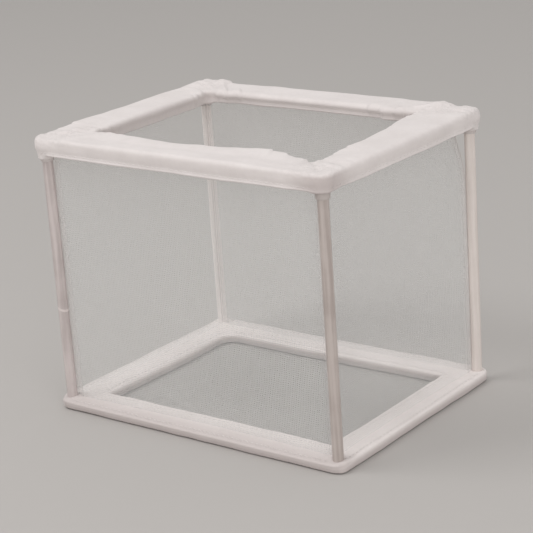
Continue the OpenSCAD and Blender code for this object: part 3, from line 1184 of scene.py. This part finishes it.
# %% Bind the corners
TAPE_LEG, TAPE_THICK, TAPE_ROUND = 3.9, 0.4, 1.1
TAPE_OUT = 0.45  # how far the tape's outer face stands out from the net
TAPE_CUT = 10.1  # its edges are turned under by more than a millimetre
TAPE_ROWS = 90
TAPE_RIPPLE = 0.21


def seam_tape(corner, seed):
    """Points [height, place round the L] of one tape, and the directions out of it."""
    sx, sy = SIGNS[corner]
    z = np.linspace(NET_FOOT, NET_HEAD, TAPE_ROWS)[:, None]
    leg = np.linspace(-TAPE_LEG, -TAPE_ROUND, 4)[:-1]
    turn = TAPE_ROUND * (np.sin(np.linspace(0, math.pi / 2, 6)) - 1)
    bend = np.concatenate([leg, turn, 0 * leg]) + TAPE_OUT
    pull = bow(corner, z)
    x, y = NET_X - NET_IN + bend - pull, NET_Y - NET_IN + bend[::-1] - pull
    points = np.stack([sx * x, sy * y, np.broadcast_to(z, x.shape)], axis=2)
    points += TAPE_RIPPLE * clouds_at(points, 6, seed)[..., None] * (sx, sy, 0)
    normals = np.cross(np.gradient(points, axis=0), np.gradient(points, axis=1)) * (sx * sy)
    normals /= np.linalg.norm(normals, axis=2, keepdims=True)
    order = slice(None, None, sx * sy)  # two of the corners run the other way round
    return points[:, order], normals[:, order]


def folded_net(middle):
    """Net folded double: closed along the seam in the middle, and sheer beside it."""
    finish = Finish("seam tape", (0.86, 0.81, 0.79), 0.75)
    cut = finish.cut()
    seam = abs(cut.parts()[1] - middle).span(0.0003, 0.0007, 0.8, 0)
    weave = plain_weave(cut)
    finish.set("Base Color", finish.blend(weave, (0.80, 0.75, 0.73), (0.88, 0.83, 0.81)))
    finish.set("Alpha", seam.larger(weave.span(0.2, 0.8, 0.03, 0.13)))
    finish.relief(weave, 0.00004)
    return finish.material


def bind_corners():
    finish = None
    for seed, corner in enumerate(SIGNS):
        points, normals = seam_tape(corner, 40 + seed)
        finish = finish or folded_net(float(cut_of(points)[0, -1, 1]) / 2)
        tape = cloth_mesh(f"seam_{corner}_tape", points, normals, TAPE_THICK, False, finish)
        span_frames(tape, f"seam_{corner}")
        walls = [f"net_{side}_cloth" for side in SIDES if corner in SIDES[side].corners]
        cut = (TAPE_CUT * MM, (NET_HEAD - NET_FOOT) * MM)
        print(f"{tape.name}: {len(tape.data.vertices)} points")


bind_corners()

# %% [markdown]
# ## Cloudy plastic posts
# The posts are thin tubes of a plastic that was never coloured: milky, partly clear and drawn out
# lengthwise, so it has faint streaks along it. No two are given the same tone, partly their own and
# partly painted light and shade: the front right tube is greyer with painted shade, like its corner,
# and the back tubes are paler with painted light, the back left one most. The part of the frame has
# the right shape, so it stays, and only its finish is new.
#
# One tube also has a fine pale ring. It's a narrow band of colour at one height, tilted a little by
# adding a share of x to the height.

# %% Finish the posts
RING_TILT = 0.35  # how much lower the ring gets along x


def cloudy_tube(name, light, dark, clear, ring_at=None):
    finish = Finish(name, light, 0.32)
    place = finish.place()
    x, y, z = place.parts()
    drawn_out = finish.wire(finish.new_node("CombineXYZ"), (x, y, z * 0.04))
    streaks = drawn_out.mottle(620, 1.0)
    tone = (streaks * 0.65 + place.mottle(90) * 0.35).span(0.34, 0.66, 0, 1)
    if ring_at is not None:
        away = abs(x * RING_TILT + z - (ring_at - RING_TILT * POST_X * MM))
        tone = tone * 0.65 + away.span(0.0003, 0.0008, 1, 0)
    finish.set("Base Color", finish.blend(tone, dark, light))
    finish.set("Roughness", streaks.span(0.3, 0.7, 0.28, 0.40))
    finish.set("Transmission Weight", clear)
    finish.set("IOR", 1.49)
    finish.relief(streaks, 0.00003)
    return finish.material


# each tube's tone is partly its own, partly painted light and shade
TUBES = {
    "front_left": cloudy_tube(
        "cloudy tube with a ring", (0.78, 0.70, 0.68), (0.54, 0.475, 0.46), 0.12, ring_at=0.050
    ),
    "front_right": cloudy_tube("cloudy tube greyed by painted shade", (0.60, 0.53, 0.495), (0.47, 0.405, 0.375), 0.15),
    "back_right": cloudy_tube("cloudy tube paled by painted light", (0.80, 0.73, 0.69), (0.72, 0.65, 0.61), 0.06),
    "back_left": cloudy_tube("cloudy tube palest from painted light", (0.96, 0.90, 0.87), (0.88, 0.815, 0.785), 0.02),
}


def refinish(part, finish):
    """Gives every face of a part of the frame this finish."""
    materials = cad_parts[part].data.materials
    for i in range(len(materials)):
        materials[i] = finish


for corner, tube in TUBES.items():
    refinish(f"post_{corner}", tube)
print("posts finished:", ", ".join(tube.name for tube in TUBES.values()))

# %% [markdown]
# ## Moulded white plastic
# Rails and corner pieces are moulded in a white plastic. Most of it hides in the sleeves, and only the
# collars round the posts' upper ends show. Its colour is set a darker grey than white: painted shade,
# for collars that sit in shade under the hems. A moulded surface isn't a mirror: it has a very fine
# orange-peel texture, which the noise gives. The piece at the front right corner is darker still, with
# the same painted shade as its post and its cloth.

# %% Finish the rails and corner pieces


def moulded_white(name, light, shade):
    finish = Finish(name, light, 0.42)
    place = finish.place()
    peel = place.mottle(1500, 2.0)
    finish.set("Base Color", finish.blend(place.mottle(45), shade, light))
    finish.set("Roughness", peel.span(0.3, 0.7, 0.36, 0.50))
    finish.relief(peel, 0.00002)
    return finish.material


shaded_white_plastic = moulded_white("moulded white plastic with painted shade", (0.60, 0.55, 0.535), (0.53, 0.48, 0.465))
shaded_grey_plastic = moulded_white("moulded plastic with deeper painted shade", (0.50, 0.45, 0.43), (0.44, 0.39, 0.37))
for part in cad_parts:
    if "_rail_" in part or "_corner_" in part:
        refinish(part, shaded_grey_plastic if part == "top_corner_front_right" else shaded_white_plastic)
print("rails and corner pieces finished")
